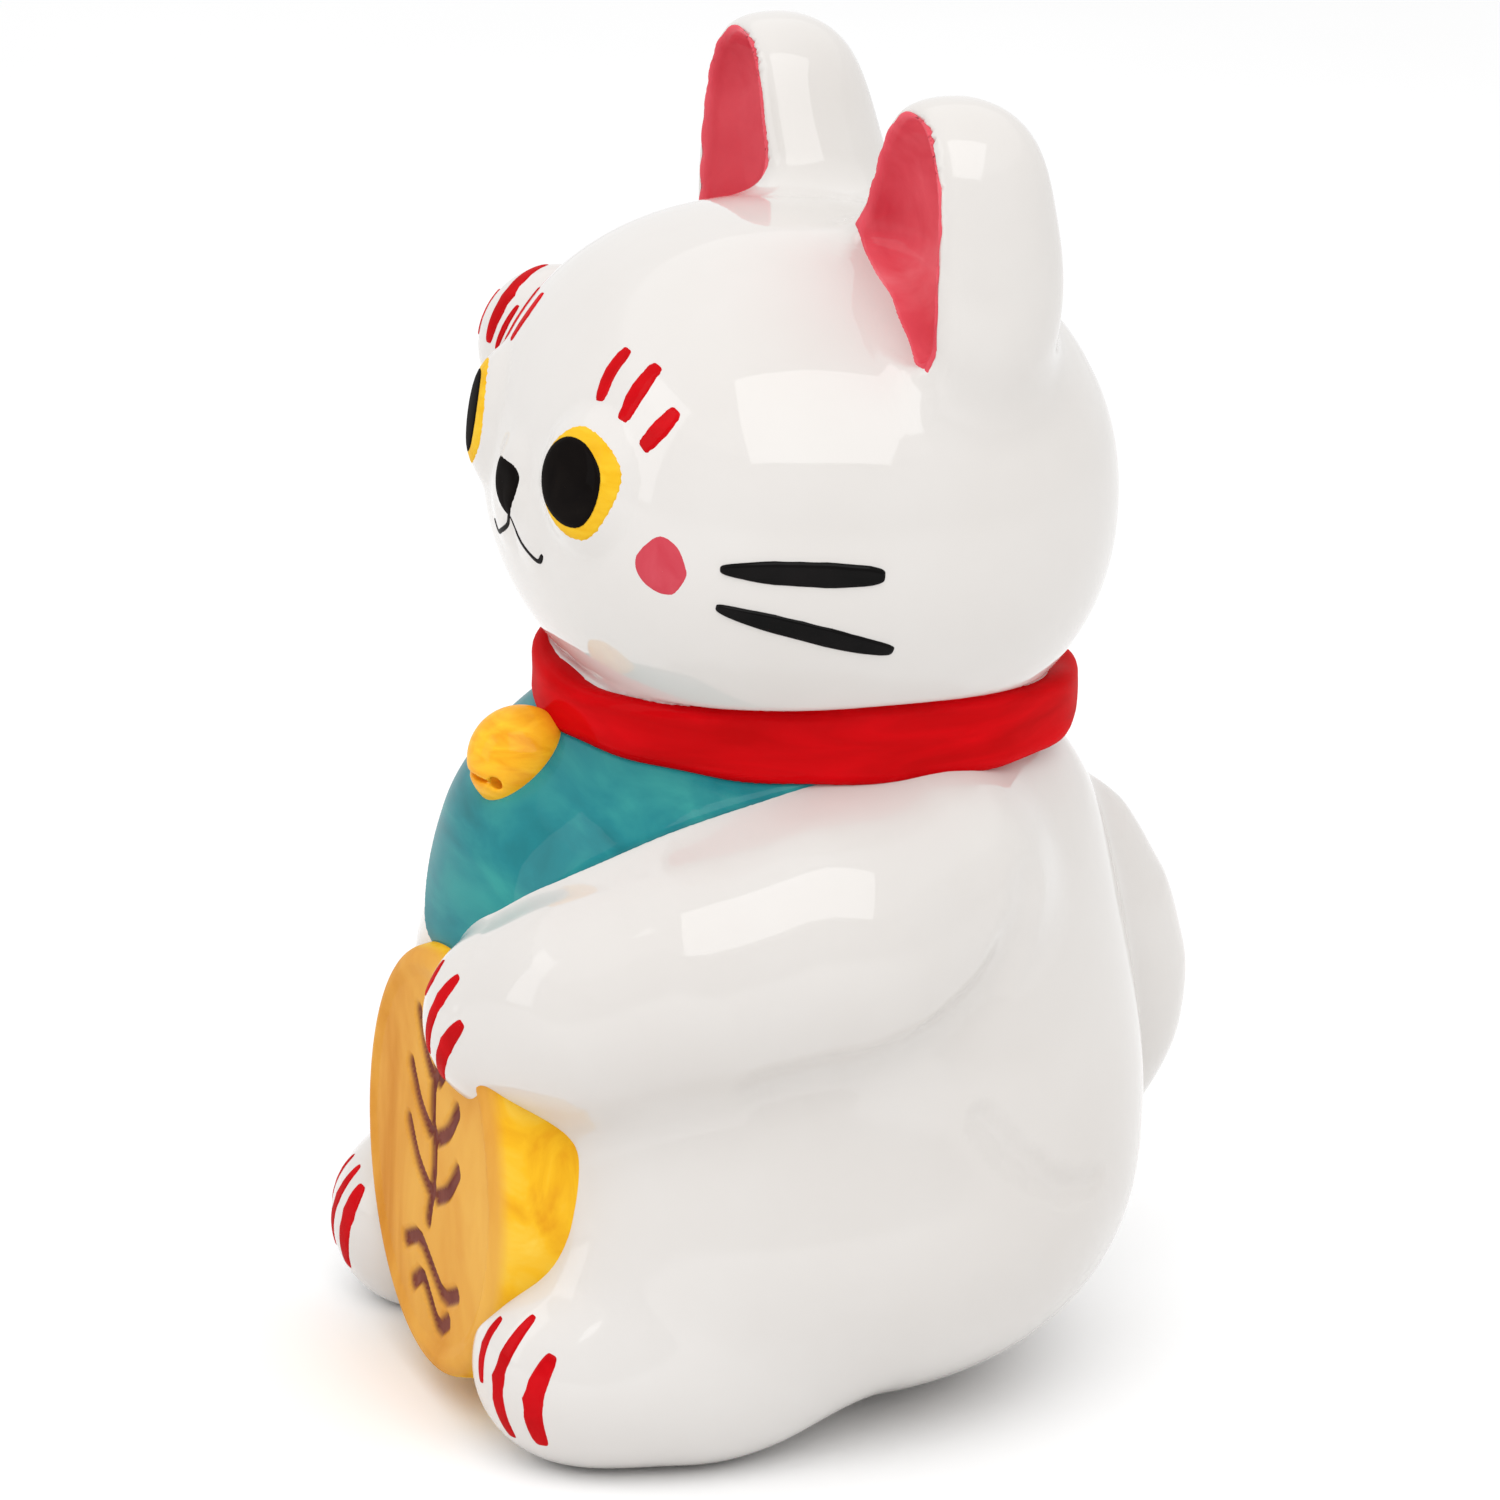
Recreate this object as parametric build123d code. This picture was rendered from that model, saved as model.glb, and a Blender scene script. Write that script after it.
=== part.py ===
from build123d import *
import os

# A seated beckoning cat: a hollow glazed ceramic money bank, 16 cm tall.
# The cat looks along -Y and its left side is +X. Z is up and the floor is Z = 0.
# Every place below is measured from the neck axis; the last step centres the whole object.

# Casting and base
WALL = 4.0
BASE_RADIUS = 21.3
BASE_RING_WIDTH = 3.5
BASE_RECESS_DEPTH = 4.5
STOPPER_HOLE_RADIUS = 14.5

# Torso: two turned ovals, one over the other, on an axis a little in front of the neck
TORSO_AXIS = -2.7
BELLY_RADIUS = 44.4
BELLY_HALF_HEIGHT = 36
BELLY_MIDDLE = 33
CHEST_RADIUS = 41
CHEST_HALF_HEIGHT = 40.2
CHEST_MIDDLE = 57
WAIST_BLEND = 45
SHOULDER_SLOPE = 1.3

# Head and ears
HEAD_CENTRE = (0, -2, 111.5)
HEAD_RADII = (42.3, 36.2, 31.7)
EAR_OVALS = [
    ((24, 5, 135), (16, 13, 15)),
    ((25.7, 5, 142), (13.4, 11.6, 14.4)),
    ((27.3, 5, 148), (11, 10.5, 13.5)),
]
EAR_HOLLOW_CENTRE = (24.5, -9, 136)
EAR_HOLLOW_RADII = (11.5, 13, 21)

# Coin slot across the back of the head, wide enough for any common coin
SLOT_LENGTH = 36
SLOT_WIDTH = 4.6
SLOT_HEIGHT = 124

# Collar, bell and bib
COLLAR_RADIUS = 32.9
COLLAR_INNER_RADIUS = 28.5
COLLAR_MIDDLE = 86
COLLAR_WIDTH = 8.8
COLLAR_EDGE = 1.2
BELL_CENTRE = (0, -36, 77.7)
BELL_RADIUS = 6
BELL_SLIT = 0.8
BIB_THICKNESS = 0.9
BIB_HALF_WIDTH = 31.5
BIB_LOWEST = 52
BIB_TIP_RADIUS = 7

# Limbs: a chain of ball centres and radii from the body outwards
HOLDING_ARM = [
    ((28, 4, 68), 15),
    ((33.5, -9, 64), 14.5),
    ((30.5, -23, 60), 13.4),
    ((24.5, -34, 56), 12.4),
    ((15.5, -41.5, 52.5), 10.9),
]
RAISED_ARM = [((-32, 2, 67), 12), ((-41, -4, 83), 9.5), ((-43.5, -10, 100), 9), ((-41.3, -18.5, 117), 10)]
TAIL = [((-4, 36, 26), 7.5), ((-1, 40.5, 37), 9), ((1, 41, 48), 8.5), ((2, 35.5, 61), 7.5), ((2, 29, 68), 6)]
LIMB_WAIST = 0.97
TOE_CENTRE = (27.5, -37, 12)
TOE_RADII = (12.5, 12.5, 12.2)
HEEL_CENTRE = (31, -24, 12)
HEEL_RADII = (13, 20, 12.5)

# Koban, the oval coin held against the belly
KOBAN_SHIFT = 5
KOBAN_HALF_WIDTH = 24
KOBAN_HALF_HEIGHT = 26.2
KOBAN_MIDDLE = 28.6
KOBAN_LIFT = 0.6
KOBAN_FRONT = -48.5
KOBAN_DEPTH = 22
KOBAN_DRAFT = 4
KOBAN_RIM = 2.4
KOBAN_ENGRAVING = 0.7

# Rubber stopper in the base
STOPPER_CLEARANCE = 0.05
STOPPER_FLANGE_RADIUS = 17
STOPPER_FLANGE_THICKNESS = 2.2
STOPPER_PLUG_LENGTH = 9
STOPPER_PLUG_TAPER = 1.2
STOPPER_BORE_RADIUS = 9
STOPPER_TAB = (12, 2.4, 1.6)

# Worked out from the above
COLLAR_BOTTOM = COLLAR_MIDDLE - COLLAR_WIDTH / 2
COLLAR_TOP = COLLAR_MIDDLE + COLLAR_WIDTH / 2
NECK_BORE_RADIUS = COLLAR_INNER_RADIUS - WALL
CHAMBER_FLOOR = BASE_RECESS_DEPTH + WALL
REACH = 80

# How a block or a turned solid sits on its starting point
UPWARD = (Align.CENTER, Align.CENTER, Align.MIN)
DOWNWARD = (Align.CENTER, Align.CENTER, Align.MAX)


def ellipsoid(centre, radii, grow=0.0):
    unit_ball = Sphere(1)
    return Pos(*centre) * scale(unit_ball, by=tuple(r + grow for r in radii))


def disc(radius, bottom, top):
    return Pos(0, 0, bottom) * Cylinder(radius, top - bottom, align=UPWARD)


def below(height):
    """A block that fills everything lower than the height."""
    return Pos(0, 0, height) * Box(4 * REACH, 4 * REACH, 4 * REACH, align=DOWNWARD)


def mirrored(point, side):
    return (side * point[0], point[1], point[2])


def limb(chain):
    """Balls joined by slightly slimmer tapered lengths."""
    solid = Part()
    for centre, radius in chain:
        solid += Pos(*centre) * Sphere(radius)
    for (start, r_start), (end, r_end) in zip(chain, chain[1:]):
        run = Vector(*end) - Vector(*start)
        along = Plane(origin=start, z_dir=run)
        profile = [(0, 0), (LIMB_WAIST * r_start, 0), (LIMB_WAIST * r_end, run.length), (0, run.length)]
        solid += along * revolve(Plane.XZ * make_face(Polyline(*profile, close=True)), Axis.Z)
    return solid


def neck():
    return disc(COLLAR_INNER_RADIUS, COLLAR_BOTTOM - WALL, COLLAR_TOP)


def torso_oval(grow):
    """Belly and chest turned about the torso's own axis, with the surface moved out by grow."""
    belly = Pos(0, BELLY_MIDDLE) * Ellipse(BELLY_RADIUS + grow, BELLY_HALF_HEIGHT + grow)
    chest = Pos(0, CHEST_MIDDLE) * Ellipse(CHEST_RADIUS + grow, CHEST_HALF_HEIGHT + grow)
    outline = belly + chest
    waist = outline.vertices().filter_by_position(Axis.Y, BELLY_MIDDLE + 1, CHEST_MIDDLE - 1)
    half = Rectangle(REACH, 4 * REACH, align=(Align.MIN, Align.CENTER))
    profile = fillet(waist, WAIST_BLEND) & half
    return Pos(0, TORSO_AXIS, 0) * revolve(Plane.XZ * profile, Axis.Z)


def shoulders(grow):
    """The cone that draws the torso in to the collar."""
    narrow = COLLAR_RADIUS - COLLAR_EDGE + grow
    wide = narrow + SHOULDER_SLOPE * COLLAR_BOTTOM
    return Cone(wide, narrow, COLLAR_BOTTOM, align=UPWARD)


def torso_form():
    form = torso_oval(0) & shoulders(0)
    form += disc(BASE_RADIUS, 0, CHAMBER_FLOOR)
    form += neck() & below(COLLAR_MIDDLE)
    return form


def head_form():
    form = ellipsoid(HEAD_CENTRE, HEAD_RADII) - below(COLLAR_TOP)
    form += neck() - below(COLLAR_MIDDLE)
    return form


def chamber():
    """The one hollow inside belly, chest, neck and head, where the coins lie."""
    hollow = torso_oval(-WALL) & below(COLLAR_BOTTOM - WALL)
    hollow += ellipsoid(HEAD_CENTRE, HEAD_RADII, -WALL) - below(COLLAR_TOP + WALL)
    hollow += disc(NECK_BORE_RADIUS, COLLAR_BOTTOM - 2 * WALL, COLLAR_TOP + 2 * WALL)
    return hollow - below(CHAMBER_FLOOR)


def body_shell(torso, hollow):
    shell = torso - hollow
    shell -= disc(BASE_RADIUS - BASE_RING_WIDTH, 0, BASE_RECESS_DEPTH)
    shell -= disc(STOPPER_HOLE_RADIUS, 0, CHAMBER_FLOOR)
    return shell


def head_shell(head, hollow):
    slot = Pos(0, HEAD_RADII[1] / 2, SLOT_HEIGHT)
    slot *= Box(SLOT_LENGTH, REACH, SLOT_WIDTH, align=(Align.CENTER, Align.MIN, Align.CENTER))
    return head - hollow - slot


def collar_band():
    band = disc(COLLAR_RADIUS, COLLAR_BOTTOM, COLLAR_TOP)
    band = fillet(band.edges().filter_by(GeomType.CIRCLE), COLLAR_EDGE)
    return band - disc(COLLAR_INNER_RADIUS, COLLAR_BOTTOM, COLLAR_TOP)


def bib_panel(torso):
    """A shallow raised triangle that follows the chest under the collar."""
    left = (-BIB_HALF_WIDTH, COLLAR_BOTTOM)
    right = (BIB_HALF_WIDTH, COLLAR_BOTTOM)
    outline = make_face(Polyline(left, (0, BIB_LOWEST), right, close=True))
    tip = outline.vertices().sort_by(Axis.Y)[0]
    front = extrude(Plane.XZ * fillet(tip, BIB_TIP_RADIUS), REACH)
    return (torso_oval(BIB_THICKNESS) & shoulders(BIB_THICKNESS) & front) - torso


def bell(torso, collar):
    ball = Pos(*BELL_CENTRE) * Sphere(BELL_RADIUS)
    slit = Pos(BELL_CENTRE[0], BELL_CENTRE[1] - BELL_RADIUS, BELL_CENTRE[2] - BELL_RADIUS / 3)
    ball -= slit * Box(BELL_RADIUS, BELL_RADIUS, BELL_SLIT)
    return ball - torso - collar


def ear(side, head):
    form = Part()
    for centre, radii in EAR_OVALS:
        form += ellipsoid(mirrored(centre, side), radii)
    form -= ellipsoid(mirrored(EAR_HOLLOW_CENTRE, side), EAR_HOLLOW_RADII)
    return form - head


def foot(side, torso):
    form = ellipsoid(mirrored(TOE_CENTRE, side), TOE_RADII)
    form += ellipsoid(mirrored(HEEL_CENTRE, side), HEEL_RADII)
    return form - below(0) - torso


def koban_plaque():
    """An oval coin with drafted sides, a raised rim and a sunken field."""
    front = Plane(origin=(KOBAN_SHIFT, KOBAN_FRONT, KOBAN_MIDDLE), x_dir=(1, 0, 0), z_dir=(0, 1, 0))
    face = front * Ellipse(KOBAN_HALF_WIDTH, KOBAN_HALF_HEIGHT)
    base = Ellipse(KOBAN_HALF_WIDTH + KOBAN_DRAFT, KOBAN_HALF_HEIGHT + KOBAN_DRAFT)
    coin = loft([face, front.offset(KOBAN_DEPTH) * base], ruled=True)
    field = Ellipse(KOBAN_HALF_WIDTH - KOBAN_RIM, KOBAN_HALF_HEIGHT - KOBAN_RIM)
    return coin - extrude(front * field, KOBAN_ENGRAVING) - below(KOBAN_LIFT)


def base_stopper():
    """A soft plug with a grip tab, its flange lying inside the base recess."""
    flange_bottom = BASE_RECESS_DEPTH - STOPPER_FLANGE_THICKNESS
    plug_radius = STOPPER_HOLE_RADIUS - STOPPER_CLEARANCE
    plug_top = BASE_RECESS_DEPTH + STOPPER_PLUG_LENGTH
    stopper = disc(STOPPER_FLANGE_RADIUS, flange_bottom, BASE_RECESS_DEPTH)
    plug = disc(plug_radius, BASE_RECESS_DEPTH, plug_top)
    stopper += chamfer(plug.edges().group_by(Axis.Z)[-1], STOPPER_PLUG_TAPER)
    stopper -= disc(STOPPER_BORE_RADIUS, BASE_RECESS_DEPTH, plug_top)
    length, width, height = STOPPER_TAB
    stopper += Pos(0, 0, flange_bottom) * Box(length, width, height, align=DOWNWARD)
    return stopper


def build():
    torso = torso_form()
    head = head_form()
    hollow = chamber()
    collar = collar_band()
    ears = {"ear_left": ear(1, head), "ear_right": ear(-1, head)}
    feet = {"foot_left": foot(1, torso), "foot_right": foot(-1, torso)}
    arms = {name: limb(chain) - torso - head - collar
            for name, chain in (("holding_arm", HOLDING_ARM), ("raised_arm", RAISED_ARM))}
    koban = koban_plaque() - torso - arms["holding_arm"] - feet["foot_left"] - feet["foot_right"]
    bib = bib_panel(torso) - collar - arms["holding_arm"] - arms["raised_arm"] - koban
    return {
        "body_shell": body_shell(torso, hollow),
        "head_shell": head_shell(head, hollow),
        "collar_band": collar,
        "bib_panel": bib,
        "bell": bell(torso, collar) - bib,
        **ears,
        **arms,
        **feet,
        "tail": limb(TAIL) - torso,
        "koban_plaque": koban,
        "base_stopper": base_stopper(),
    }


def main():
    parts = build()
    box = Compound(children=[Compound(part.wrapped) for part in parts.values()]).bounding_box()
    centre = Pos(-(box.min.X + box.max.X) / 2, -(box.min.Y + box.max.Y) / 2, 0)
    os.makedirs("parts", exist_ok=True)
    for name, part in parts.items():
        export_step(centre * part, f"parts/{name}.step")
    print("neck axis at", centre.position.X, centre.position.Y)


main()
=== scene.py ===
"""Looks for the beckoning cat money bank: glazed casting, painted details, stage, light and camera."""
import math

import bpy
import numpy as np
from mathutils import Matrix, Vector


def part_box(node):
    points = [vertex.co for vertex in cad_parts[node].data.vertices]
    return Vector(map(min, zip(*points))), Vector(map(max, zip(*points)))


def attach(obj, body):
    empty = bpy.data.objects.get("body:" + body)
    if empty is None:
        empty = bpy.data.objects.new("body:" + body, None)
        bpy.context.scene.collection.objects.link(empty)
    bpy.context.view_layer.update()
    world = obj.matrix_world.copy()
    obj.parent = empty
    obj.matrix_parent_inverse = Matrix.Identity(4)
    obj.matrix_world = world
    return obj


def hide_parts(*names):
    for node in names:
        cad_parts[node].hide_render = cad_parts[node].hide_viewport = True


MM = 0.001
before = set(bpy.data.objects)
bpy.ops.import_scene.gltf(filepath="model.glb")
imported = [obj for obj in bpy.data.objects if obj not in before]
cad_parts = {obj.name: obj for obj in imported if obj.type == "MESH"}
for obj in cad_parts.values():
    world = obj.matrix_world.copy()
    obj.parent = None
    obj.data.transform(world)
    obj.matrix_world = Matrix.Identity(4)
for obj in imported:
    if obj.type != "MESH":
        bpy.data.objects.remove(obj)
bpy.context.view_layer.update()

# Everything is worked out in millimetres from the neck axis, with the floor at height 0.
collar_low, collar_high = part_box("collar_band")
ORIGIN = np.array([(collar_low.x + collar_high.x) / 2, (collar_low.y + collar_high.y) / 2, 0.0])


def span(node):
    """The lowest and highest corners of a CAD node, in millimetres from the neck axis."""
    low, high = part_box(node)
    return (np.array(low) - ORIGIN) / MM, (np.array(high) - ORIGIN) / MM


def from_axis(p):
    """Distance of each point from the neck axis."""
    return np.sqrt(p[..., 0] ** 2 + p[..., 1] ** 2)


# ---------------------------------------------------------------- shape functions

def oval(p, centre, radii, power=2.0):
    """Signed distance, near enough, to an oval body; a power over 2 fills its corners out."""
    q = np.abs(p - np.array(centre, np.float32)) / np.array(radii, np.float32)
    k = np.maximum((q ** power).sum(-1), 1e-9) ** (1 / power)
    slope = (q ** (power - 1)) / np.array(radii, np.float32) * (k ** (1 - power))[..., None]
    return (k - 1) / np.maximum(np.sqrt((slope ** 2).sum(-1)), 1e-6)


def boxed_oval(p, centre, radii, plan_power, power):
    """An oval body whose plan is fuller in its corners than its upright outline."""
    radii = np.array(radii, np.float32)
    q = np.maximum(np.abs(p - np.array(centre, np.float32)) / radii, 1e-4)
    plan = (q[..., 0] ** plan_power + q[..., 1] ** plan_power) ** (1 / plan_power)
    k = (plan ** power + q[..., 2] ** power) ** (1 / power)
    outward = (plan / k) ** (power - 1)
    slope = np.stack([outward * (q[..., 0] / plan) ** (plan_power - 1),
                      outward * (q[..., 1] / plan) ** (plan_power - 1),
                      (q[..., 2] / k) ** (power - 1)], -1) / radii
    return (k - 1) / np.maximum(np.sqrt((slope ** 2).sum(-1)), 1e-6)


def blend(a, b, width):
    """Union of two bodies with a soft fillet."""
    h = np.maximum(width - np.abs(a - b), 0) / width
    return np.minimum(a, b) - h * h * width * 0.25


def trim(a, b, width):
    """The part of a that is also in b, with a soft edge."""
    return -blend(-a, -b, width)


def taper(p, start, end, r_start, r_end):
    """One tapered length between two balls."""
    start = np.array(start, np.float32)
    along = np.array(end, np.float32) - start
    q = p - start
    h = np.clip(q @ along / (along @ along), 0, 1)
    return np.sqrt(((q - h[..., None] * along) ** 2).sum(-1)) - (r_start + (r_end - r_start) * h)


def limb(p, chain, width):
    """A run of tapered lengths through a chain of ball centres and radii."""
    body = None
    for (start, r_start), (end, r_end) in zip(chain, chain[1:]):
        piece = taper(p, start, end, r_start, r_end)
        body = piece if body is None else blend(body, piece, width)
    return body


def both_sides(p):
    """The points with the cat's right side folded over onto its left."""
    q = p.copy()
    q[..., 0] = np.abs(q[..., 0])
    return q


# ---------------------------------------------------------------- the cat's form

WALL = 4.0
HEAD_LOW, HEAD_HIGH = span("head_shell")
HEAD_HALF_HEIGHT = 32.2
HEAD_CENTRE = (0.0, (HEAD_LOW[1] + HEAD_HIGH[1]) / 2, HEAD_HIGH[2] - HEAD_HALF_HEIGHT - 0.2)
HEAD_RADII = (42.0, 35.6, HEAD_HALF_HEIGHT)
HEAD_POWER = 2.15
HEAD_PLAN_POWER = 2.35

# Bosses in low relief: centre, flat radius, outer radius and height.
EYE = ((16.8, -35.6, 116.0), 5.2, 9.8, 1.6)
NOSE = ((0.0, -37.6, 112.4), 2.0, 6.5, 1.1)
MUZZLE = ((4.2, -37.4, 107.4), 1.0, 6.5, 0.6)

# Ovals: centre and radii. Those away from the middle stand on both sides.
EAR_ROOT = ((24.0, 5.0, 135.0), (16.5, 13.0, 15.0))
EAR_TIP = ((27.3, 5.0, 147.5), (11.5, 10.5, 13.2))
EAR_TIP_POWER = 2.3
EAR_FRONT = -1.2
EAR_HOLLOW_LOW = ((24.4, -2.2, 135.0), (12.2, 9.5, 13.0))
EAR_HOLLOW_HIGH = ((27.2, -2.2, 147.5), (9.0, 8.5, 11.3))
EAR_FILLET = 8
EAR_RIM_CURVE = 2.5
EAR_HOLLOW_FILLET = 6
EAR_HOLLOW_EDGE = 1.2
EAR_ROOT_FILLET = 5
BELLY = ((0.0, -2.6, 33.0), (44.4, 44.0, 35.7))
BELLY_POWER = 2.35
CHEST = ((0.0, -2.8, 57.0), (40.3, 41.3, 40.0))
THIGH = ((29.0, -8.0, 25.0), (17.0, 29.5, 16.5))
COIN_SEAT = ((2.5, -52.0, 36.0), (28.0, 24.0, 19.0))
COIN_SEAT_EDGE = 4
TOE = ((27.5, -37.0, 12.0), (12.5, 12.5, 12.2))
HEEL = ((31.0, -24.0, 12.0), (13.0, 20.0, 12.5))
RIGHT_FOOT_SHIFT = (3.0, 0.9, 1.2)

# Limbs: the centre and radius of each ball along them.
HOLDING_ARM = [((28, 4, 68), 15), ((33.5, -9, 64), 14.5), ((30.5, -23, 60), 13.4),
               ((24.5, -34, 54.9), 12.7), ((15.5, -41.1, 51.0), 11.3)]
RAISED_ARM = [((-32, 2, 67), 12), ((-37.4, -1.2, 75), 10.4), ((-41, -4, 83), 9.6),
              ((-42.8, -7, 91.5), 9.2), ((-43, -9.9, 100), 9.1), ((-42.4, -13.6, 109), 9.3),
              ((-41.2, -17.6, 117.5), 10.0)]
TAIL = [((-4, 36, 26), 7.5), ((-2, 39.2, 32), 8.5), ((-0.3, 41.2, 39), 8.9), ((0.9, 40.9, 46), 8.8),
        ((1.7, 38.4, 54), 8.4), ((2, 34.4, 61.5), 7.6), ((2, 29, 68.5), 6)]
LIMB_FILLET = 6

# Soft folds: the points along them, then their depth and reach.
HIP_CREASE = ([(43.3, 6.5, 43.4), (43.3, 10.3, 39), (42.6, 14, 35.6), (41.2, 18, 32.6), (38.3, 23.5, 31.6)],
              0.7, 2.8)
ARM_CREASE = ([(40.1, 12.7, 69.8), (40.9, 11.1, 64.1), (41.6, 7.5, 58.5), (43.6, 1.7, 55.5),
               (45.3, -5.2, 53.5), (44, -12, 51), (42.1, -19.8, 49)], 1.0, 5)

COLLAR_LOW, COLLAR_HIGH = span("collar_band")
COLLAR_RADIUS = (COLLAR_HIGH[0] - COLLAR_LOW[0]) / 2
COLLAR_MIDDLE = (COLLAR_LOW[2] + COLLAR_HIGH[2]) / 2
COLLAR_HALF_WIDTH = (COLLAR_HIGH[2] - COLLAR_LOW[2]) / 2
COLLAR_HALF_THICKNESS = 3.0
COLLAR_WAVE = 1.7
NECK_RADIUS = COLLAR_RADIUS - 4.4
SEAT_RADIUS = COLLAR_RADIUS - 2.0
SEAT_FILLET = 2
CHIN_RADIUS = COLLAR_RADIUS - 1.5
SHOULDER_RADIUS = COLLAR_RADIUS - 1.4
SHOULDER_SLOPE = 1.3
SHOULDER_FILLET = 5
TORSO_FILLET = 10
FOOT_FILLET = 5
THIGH_FILLET = 9
ARM_FILLET = 4
TAIL_FILLET = 2
FLOOR_EDGE = 1.2
SLOT_HEIGHT = 124.0
SLOT_HALF_SIZE = (18.0, 2.3)
SLOT_START = 15
BASE_RADIUS = 21.3
BASE_HEIGHT = 8
RECESS_RADIUS = 17.8
RECESS_DEPTH = 4.5
HOLE_RADIUS = 14.5
OPENING_EDGE = 0.8


def swell(p, centre, inner, outer, height):
    """How far a soft round boss lifts the surface at each point."""
    away = np.sqrt(((p - np.array(centre, np.float32)) ** 2).sum(-1))
    t = np.clip((outer - away) / (outer - inner), 0, 1)
    return height * t * t * (3 - 2 * t)


def head_form(p):
    """The head, with its low relief: eyes, nose and the two halves of the muzzle."""
    q = both_sides(p)
    relief = swell(q, *EYE) + swell(q, *NOSE) + swell(q, *MUZZLE)
    return boxed_oval(p, HEAD_CENTRE, HEAD_RADII, HEAD_PLAN_POWER, HEAD_POWER) - relief


def ear_hollow_form(q):
    """The scoop in the front of each ear."""
    return blend(oval(q, *EAR_HOLLOW_LOW), oval(q, *EAR_HOLLOW_HIGH), EAR_HOLLOW_FILLET)


def ear_form(p):
    """Both cupped ears, with a flat rim and a hollow open to the front."""
    q = both_sides(p)
    ear = blend(oval(q, *EAR_ROOT), oval(q, *EAR_TIP, EAR_TIP_POWER), EAR_FILLET)
    ear = trim(ear, EAR_FRONT - q[..., 1], EAR_RIM_CURVE)
    return trim(ear, -ear_hollow_form(q), EAR_HOLLOW_EDGE)


def collar_top(p):
    """The height of the collar's upper edge, highest under the cheeks."""
    turn = np.arctan2(p[..., 1], p[..., 0])
    return COLLAR_HIGH[2] - 0.4 + COLLAR_WAVE * np.cos(2 * turn)


def upper_form(p):
    """Head and ears, cut to sit on the collar, with the thick neck that fills it up to its rim."""
    away = from_axis(p)
    above_collar = p[..., 2] - collar_top(p)
    seat_ends = np.maximum(above_collar + 0.4, COLLAR_LOW[2] + 2 - p[..., 2])
    seat = trim(away - SEAT_RADIUS, seat_ends, 1)
    head = trim(head_form(p), -np.maximum(CHIN_RADIUS - away, above_collar), 1)
    return blend(blend(head, seat, SEAT_FILLET), ear_form(p), EAR_ROOT_FILLET)


def torso_form(p):
    """Belly and chest, narrowed to sloping shoulders and hollowed in front for the coin, and the neck."""
    away = from_axis(p)
    z = p[..., 2]
    torso = blend(oval(p, *BELLY, BELLY_POWER), oval(p, *CHEST), TORSO_FILLET)
    shoulders = away - SHOULDER_RADIUS - (COLLAR_LOW[2] - z) * SHOULDER_SLOPE
    torso = trim(torso, shoulders / math.hypot(1, SHOULDER_SLOPE), SHOULDER_FILLET)
    torso = trim(torso, -oval(p, *COIN_SEAT), COIN_SEAT_EDGE)
    neck = trim(away - NECK_RADIUS, np.abs(z - COLLAR_MIDDLE) - COLLAR_HALF_WIDTH - 3, 2)
    return blend(torso, neck, 1)


def crease(p, points, depth, reach):
    """How deep a soft fold is pressed in along a run of points."""
    away = limb(p, [(point, 0) for point in points], 1)
    t = np.clip(1 - away / reach, 0, 1)
    return depth * t * t * (3 - 2 * t)


def feet_form(q, on_right):
    """Both feet, the right one a little nearer to the middle and further forward."""
    standing = q + on_right[..., None] * np.array(RIGHT_FOOT_SHIFT, np.float32)
    return blend(oval(standing, *TOE), oval(standing, *HEEL), FOOT_FILLET)


def outer_form(p):
    """The outside of the whole white casting."""
    q = both_sides(p)
    lower = blend(torso_form(p), feet_form(q, p[..., 0] < 0), FOOT_FILLET)
    lower = blend(lower, oval(q, *THIGH), THIGH_FILLET) + crease(q, *HIP_CREASE)
    lower = blend(lower, limb(p, HOLDING_ARM, LIMB_FILLET), ARM_FILLET) + crease(p, *ARM_CREASE)
    lower = blend(lower, limb(p, TAIL, LIMB_FILLET), TAIL_FILLET)
    whole = blend(upper_form(p), lower, 1)
    whole = blend(whole, limb(p, RAISED_ARM, LIMB_FILLET), ARM_FILLET)
    foot_ring = trim(from_axis(p) - BASE_RADIUS, p[..., 2] - BASE_HEIGHT, 1)
    whole = blend(whole, foot_ring, 2)
    return trim(whole, -p[..., 2], FLOOR_EDGE)


def chamber_form(p):
    """The hollow where the coins lie, with the slot, the base recess and the stopper hole."""
    z = p[..., 2]
    away = from_axis(p)
    (belly, belly_radii), (chest, chest_radii) = BELLY, CHEST
    lower = oval(p, belly, np.array(belly_radii) - WALL - 0.5)
    hollow = blend(lower, oval(p, chest, np.array(chest_radii) - WALL), 6)
    hollow = trim(hollow, z - (COLLAR_LOW[2] - WALL), 2)
    hollow = trim(hollow, -oval(p, COIN_SEAT[0], np.array(COIN_SEAT[1]) + WALL), 2)
    skull = trim(oval(p, HEAD_CENTRE, np.array(HEAD_RADII) - WALL), COLLAR_HIGH[2] + WALL - z, 2)
    bore_ends = np.abs(z - COLLAR_MIDDLE) - COLLAR_HALF_WIDTH - 2 * WALL
    bore = trim(away - (NECK_RADIUS - WALL), bore_ends, 2)
    hollow = np.minimum(np.minimum(hollow, skull), bore)
    hollow = trim(hollow, RECESS_DEPTH + WALL - z, 1)
    slot = np.maximum(np.abs(p[..., 0]) - SLOT_HALF_SIZE[0], np.abs(z - SLOT_HEIGHT) - SLOT_HALF_SIZE[1])
    slot = np.maximum(slot, SLOT_START - p[..., 1])
    recess = np.maximum(away - RECESS_RADIUS, z - RECESS_DEPTH)
    hole = np.maximum(away - HOLE_RADIUS, z - 2 * WALL - RECESS_DEPTH)
    for opening in (slot, recess, hole):
        hollow = blend(hollow, opening, OPENING_EDGE)
    return hollow


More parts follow.
